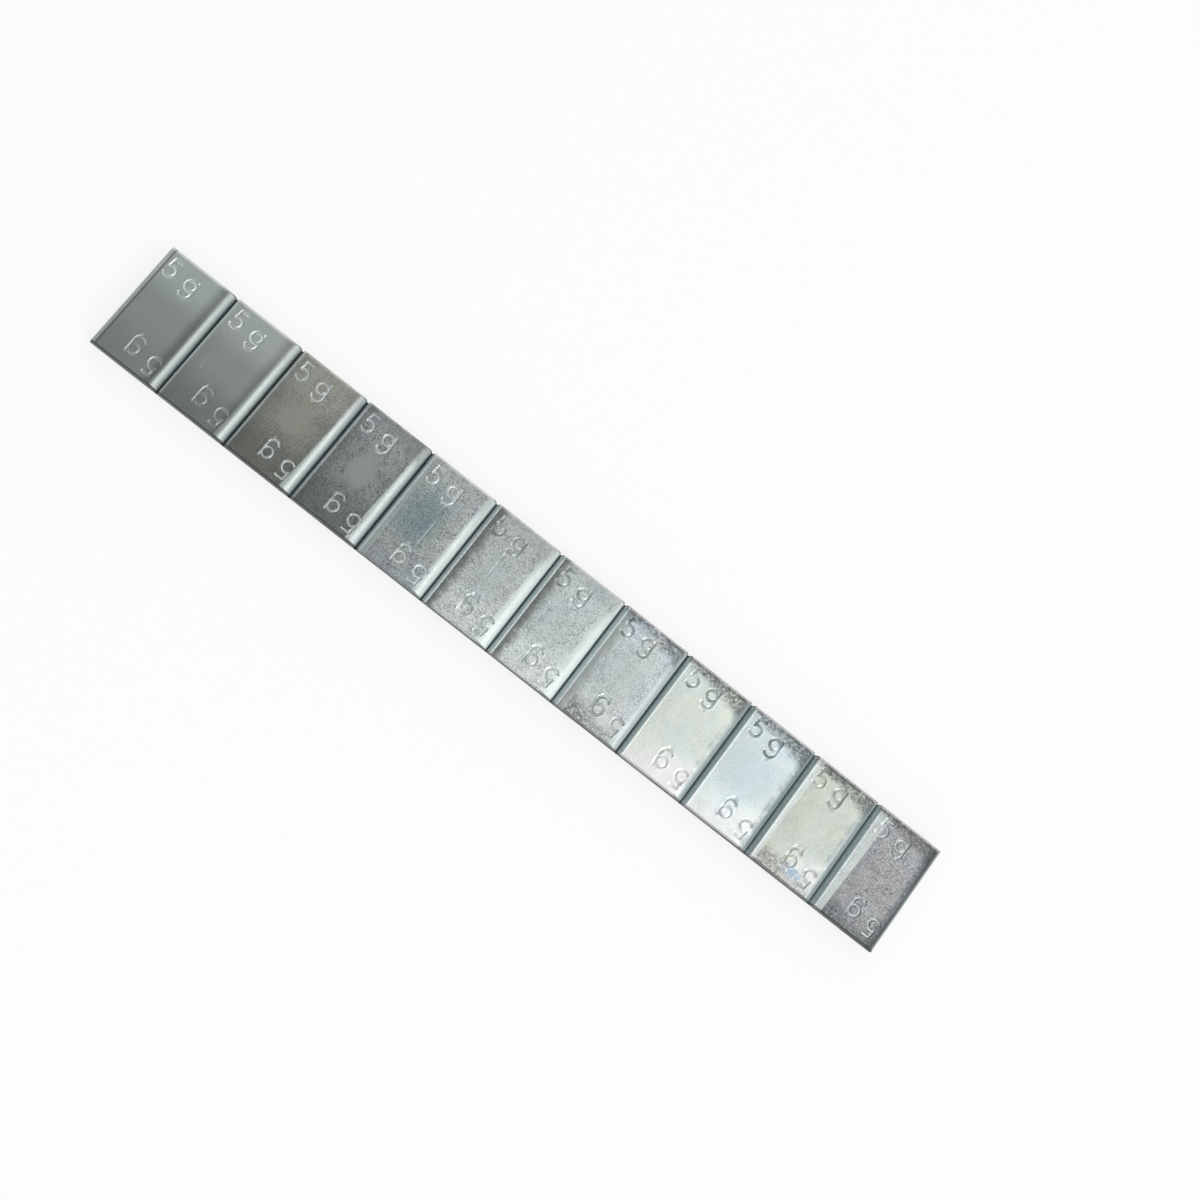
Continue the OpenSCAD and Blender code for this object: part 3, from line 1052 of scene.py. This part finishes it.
def build_steel():
    """The strip, in parts of a few pads that meet in the middle of a groove."""
    zinc = Zinc().material
    pads = PAD_COUNT // STEEL_PARTS
    for i in range(STEEL_PARTS):
        part = strip_part(f"steel_pads_{i + 1}", i * pads, (i + 1) * pads - 1)
        part.data.materials.append(zinc)
        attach(part, "root")
        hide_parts("steel_strip")


def build_tape():
    """The foam tape under the steel."""
    tape = sheet_mesh("tape_foam", tape_lo, tape_hi, TAPE_CORNER_R, TAPE_STEP, TAPE_LEVELS,
                      tape_inset)
    tape.data.materials.append(foam_material())
    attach(tape, "root")
    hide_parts("foam_tape")


def build_liner():
    """The film under the tape."""
    liner = sheet_mesh("liner_film", liner_lo, liner_hi, LINER_CORNER_R, LINER_STEP,
                       LINER_LEVELS, liner_inset)
    liner.data.materials.append(liner_material())
    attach(liner, "root")
    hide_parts("release_liner")


def build_floor():
    """A wide white card just under the liner."""
    corners = [(-1, -1), (1, -1), (1, 1), (-1, 1)]
    points = [(x * FLOOR_SIZE, y * FLOOR_SIZE, FLOOR_Z) for x, y in corners]
    mesh = bpy.data.meshes.new("floor")
    mesh.from_pydata(points, [], [(0, 1, 2, 3)])
    floor = bpy.data.objects.new("floor", mesh)
    floor.data.materials.append(floor_material())
    bpy.context.scene.collection.objects.link(floor)


# light and camera

# the room from left to right, and what closes it behind and in front
ROOM_ACROSS = [
    (0.00, (0.40, 0.46, 0.48)),
    (0.25, (0.40, 0.46, 0.48)),
    (0.36, (0.45, 0.475, 0.47)),
    (0.40, (0.42, 0.435, 0.43)),
    (0.45, (0.31, 0.325, 0.32)),
    (0.49, (0.44, 0.455, 0.45)),
    (0.54, (0.78, 0.80, 0.80)),
    (0.60, (1.06, 1.08, 1.08)),
    (0.70, (1.22, 1.22, 1.20)),
    (0.82, (1.15, 1.15, 1.14)),
    (0.92, (0.90, 0.92, 0.92)),
    (1.00, (0.70, 0.72, 0.72)),
]
BEHIND, BEHIND_FROM, BEHIND_FULL = (1.00, 1.00, 1.00), 0.38, 0.72
FRONT, FRONT_FROM, FRONT_FULL = (0.80, 0.82, 0.83), 0.30, 0.66

KEY_PLACE = Vector((0.95, -0.20, 0.75))
KEY_SIZE = (0.6, 1.0)
KEY_POWER = 4.0
KEY_COLOUR = (1.0, 0.99, 0.97)

# the camera that was fitted to the photograph: two of its axes, and its place in millimetres
CAMERA_RIGHT = Vector((0.78468, 0.60050, 0.15388))
CAMERA_UP = Vector((-0.61822, 0.77634, 0.12291))
CAMERA_AT = Vector((-2.24, -39.43, 242.85))
SENSOR = 36
LENS = 48
CLIP_START = 0.01


def build_world():
    """A room that is dim on the left, bright on the right, and pale behind and in front."""
    world = bpy.data.worlds.new("studio")
    bpy.context.scene.world = world
    world.use_nodes = True
    g = Graph(world.node_tree)
    x, y, _ = g.split(g.add("TexCoord").outputs["Generated"])
    across = g.ramp(g.times(g.plus(x, 1.0), 0.5), ROOM_ACROSS)
    room = g.mix(g.between(y, BEHIND_FROM, BEHIND_FULL), across, BEHIND)
    room = g.mix(g.between(g.negative(y), FRONT_FROM, FRONT_FULL), room, FRONT)
    back = g.add("Background")
    g.put(room, back.inputs["Color"])
    g.put(1.0, back.inputs["Strength"])
    g.put(back.outputs[0], g.add("OutputWorld").inputs[0])


def build_light():
    """One soft lamp on the right, aimed at the strip's middle."""
    data = bpy.data.lights.new("key_right", "AREA")
    data.shape = "RECTANGLE"
    data.size, data.size_y = KEY_SIZE
    data.energy = KEY_POWER
    data.color = KEY_COLOUR
    lamp = bpy.data.objects.new("key_right", data)
    lamp.location = KEY_PLACE
    lamp.rotation_mode = "QUATERNION"
    lamp.rotation_quaternion = (-KEY_PLACE).to_track_quat("-Z", "Y")
    bpy.context.scene.collection.objects.link(lamp)


def build_camera():
    """The photograph's near top-down view, solved from the strip's corners and grooves."""
    data = bpy.data.cameras.new("camera")
    data.sensor_width = SENSOR
    data.lens = LENS
    data.clip_start = CLIP_START
    camera = bpy.data.objects.new("camera", data)
    back = CAMERA_RIGHT.cross(CAMERA_UP).normalized()
    up = back.cross(CAMERA_RIGHT)
    turn = Matrix((CAMERA_RIGHT.normalized(), up.normalized(), back)).transposed()
    camera.matrix_world = Matrix.Translation(CAMERA_AT * MM) @ turn.to_4x4()
    bpy.context.scene.collection.objects.link(camera)
    bpy.context.scene.camera = camera


build_steel()
build_tape()
build_liner()
build_floor()
build_world()
build_light()
build_camera()
bpy.context.scene.view_settings.view_transform = "Standard"
